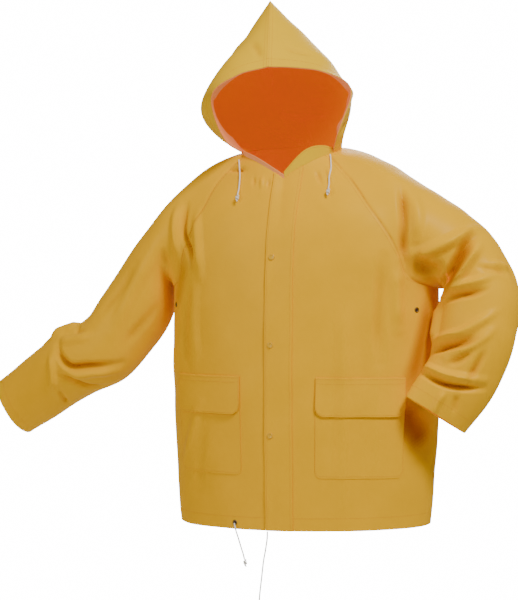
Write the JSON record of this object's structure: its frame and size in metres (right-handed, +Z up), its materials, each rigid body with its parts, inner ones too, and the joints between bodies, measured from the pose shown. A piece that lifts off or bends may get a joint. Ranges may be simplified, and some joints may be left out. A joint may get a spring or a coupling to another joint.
{
  "type": "hooded rain jacket",
  "caption": "Yellow coated hooded rain jacket, worn shape with no wearer: raglan sleeves, peaked drawstring hood, snap placket and flap pockets.",
  "frame": {"origin": "middle of the neck opening, above the centre front, where the shoulders carry the jacket", "axes": "+Z up, the front faces -Y, +X to the wearer's left"},
  "size_m": [1.1966, 0.3477, 1.2429],
  "materials": {
    "yellow_front": "satin",
    "yellow_back": "satin",
    "yellow_sleeve": "satin",
    "yellow_hood": "satin",
    "yellow_placket": "satin",
    "yellow_pocket": "satin",
    "yellow_flap": "satin",
    "yellow_neckband": "satin",
    "peach_casing": "satin",
    "yellow_snap": "satin",
    "dark_eyelet": "satin",
    "white_cord": "satin"
  },
  "bodies": {
    "root": {"front_left": "yellow_front", "front_right": "yellow_front", "back": "yellow_back", "sleeve_left": "yellow_sleeve", "sleeve_right": "yellow_sleeve", "hood_left": "yellow_hood", "hood_right": "yellow_hood", "casing_left": "peach_casing", "casing_right": "peach_casing", "neckband_left": "yellow_neckband", "neckband_right": "yellow_neckband", "placket": "yellow_placket", "pocket_left": "yellow_pocket", "pocket_right": "yellow_pocket", "flap_left": "yellow_flap", "flap_right": "yellow_flap", "snap_1": "yellow_snap", "snap_2": "yellow_snap", "snap_3": "yellow_snap", "vent_left": "dark_eyelet", "vent_right": "dark_eyelet", "hem_eyelet": "dark_eyelet", "hood_cord_left": "white_cord", "hood_cord_left_knot": "white_cord", "hood_cord_right": "white_cord", "hood_cord_right_knot": "white_cord", "hem_cord_left": "white_cord", "hem_cord_left_knot": "white_cord", "hem_cord_right": "white_cord", "hem_cord_right_knot": "white_cord"}
  },
  "joints": []
}
